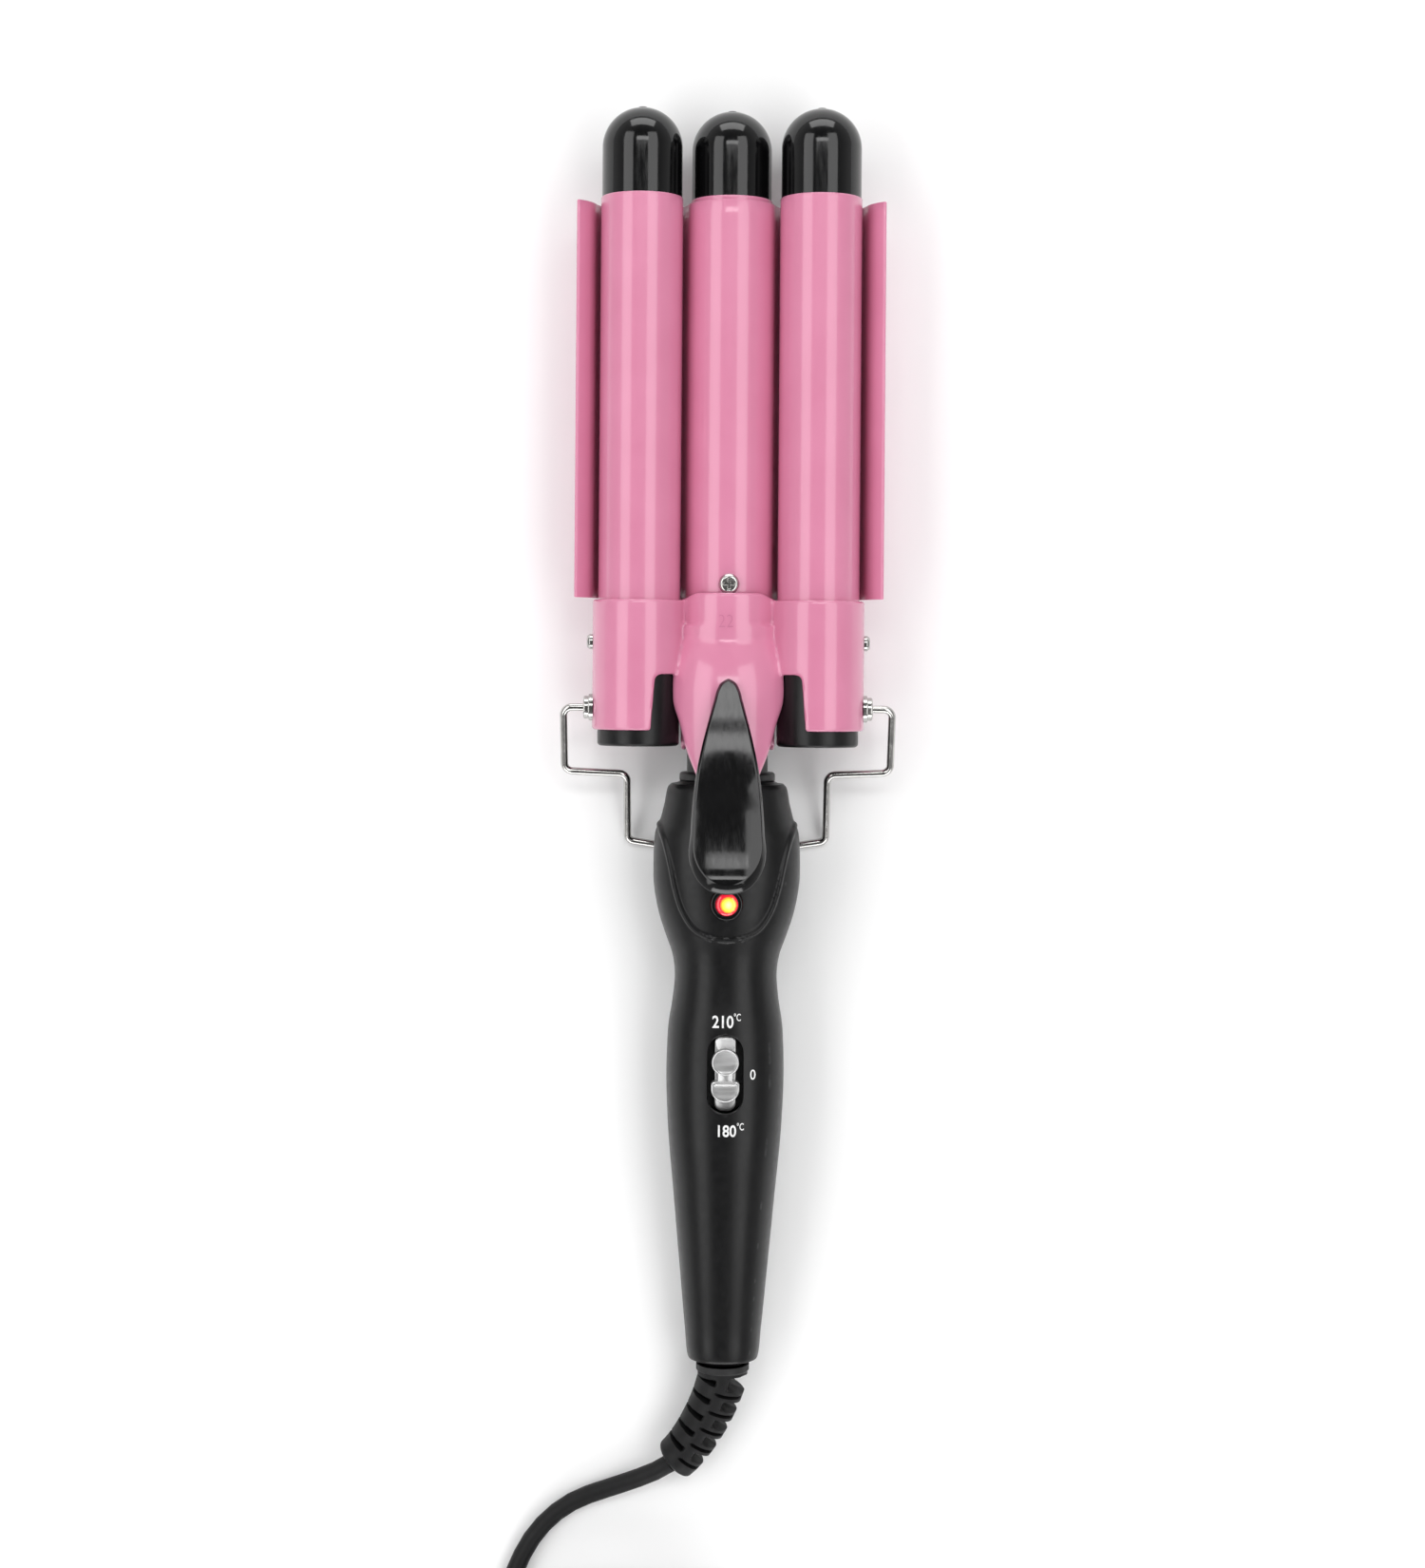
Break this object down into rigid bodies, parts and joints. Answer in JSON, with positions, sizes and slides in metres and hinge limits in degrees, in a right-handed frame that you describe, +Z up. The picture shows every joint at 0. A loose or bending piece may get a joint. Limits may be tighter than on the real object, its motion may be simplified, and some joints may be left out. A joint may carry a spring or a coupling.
{
  "type": "three-barrel hair waver",
  "caption": "Hand-held hair waver with side-by-side heated barrels, a sprung clamp with a thumb lever, a fold-out wire stand, a slide switch and a swivel mains cord.",
  "frame": {"origin": "centre of the wand's box on the surface that it lies on, without the cord; Y = 0 is the clamp's pivot", "axes": "+Y along the barrels towards their tips, +X across the barrels, +Z up through the thumb lever"},
  "size_m": [0.11, 0.4989, 0.0488],
  "materials": {
    "pink_enamel": "gloss",
    "gloss_black": "gloss",
    "matte_black": "matte",
    "cord_rubber": "matte",
    "steel": "satin",
    "spreader_aluminium": "satin",
    "switch_silver": "satin",
    "indicator": "gloss",
    "board": "satin",
    "switch_plastic": "matte",
    "copper_lead": "satin",
    "contact_brass": "satin"
  },
  "bodies": {
    "root": {"handle_front_shell": "matte_black", "handle_rear_shell": "matte_black", "handle_screws": "steel", "neck_tube": "matte_black", "front_collar": "matte_black", "middle_barrel": "pink_enamel", "middle_tip": "gloss_black", "middle_heater": "spreader_aluminium", "wave_plate": "pink_enamel", "plate_screw": "steel", "pivot_pin": "steel", "clamp_spring": "steel", "led_lens": "indicator", "led_bezel": "matte_black", "circuit_board": "board", "switch_body": "switch_plastic", "switch_guide": "switch_silver", "inner_leads": "copper_lead", "contact_brushes": "contact_brass", "neck_bulkhead": "matte_black", "cord_bulkhead": "matte_black", "screw_posts": "matte_black", "cord_boot": "cord_rubber", "cord_tube": "cord_rubber", "cord_coil": "cord_rubber", "cord_tail": "cord_rubber", "plug": "cord_rubber", "plug_pins": "steel"},
    "clamp": {"clamp_casting": "pink_enamel", "thumb_lever": "gloss_black", "lever_screw": "steel", "left_barrel": "pink_enamel", "right_barrel": "pink_enamel", "left_tip": "gloss_black", "right_tip": "gloss_black", "left_heater": "spreader_aluminium", "right_heater": "spreader_aluminium", "left_end_plug": "gloss_black", "right_end_plug": "gloss_black", "barrel_screws": "steel", "stand_bosses": "steel"},
    "stand": {"stand_wire": "steel"},
    "slider": {"switch_slider": "switch_silver"},
    "swivel": {"swivel_core": "matte_black", "contact_rings": "contact_brass"}
  },
  "joints": [
    {"name": "clamp_pivot", "type": "hinge", "parent": "root", "child": "clamp", "pos_m": [0, 0, 0.015], "axis": [1, 0, 0], "range_deg": [0, 15], "stiffness_Nm_per_rad": 0.35, "springref_deg": -34.38},
    {"name": "stand_hinge", "type": "hinge", "parent": "clamp", "child": "stand", "pos_m": [0, 0.0079, 0.02], "axis": [1, 0, 0], "range_deg": [0, 75]},
    {"name": "switch_slide", "type": "slide", "parent": "root", "child": "slider", "axis": [0, 1, 0], "range_m": [-0.003, 0.003]},
    {"name": "cord_swivel", "type": "hinge", "parent": "root", "child": "swivel", "pos_m": [0, -0.1698, 0.0099], "axis": [0, 1, 0], "continuous": true}
  ]
}
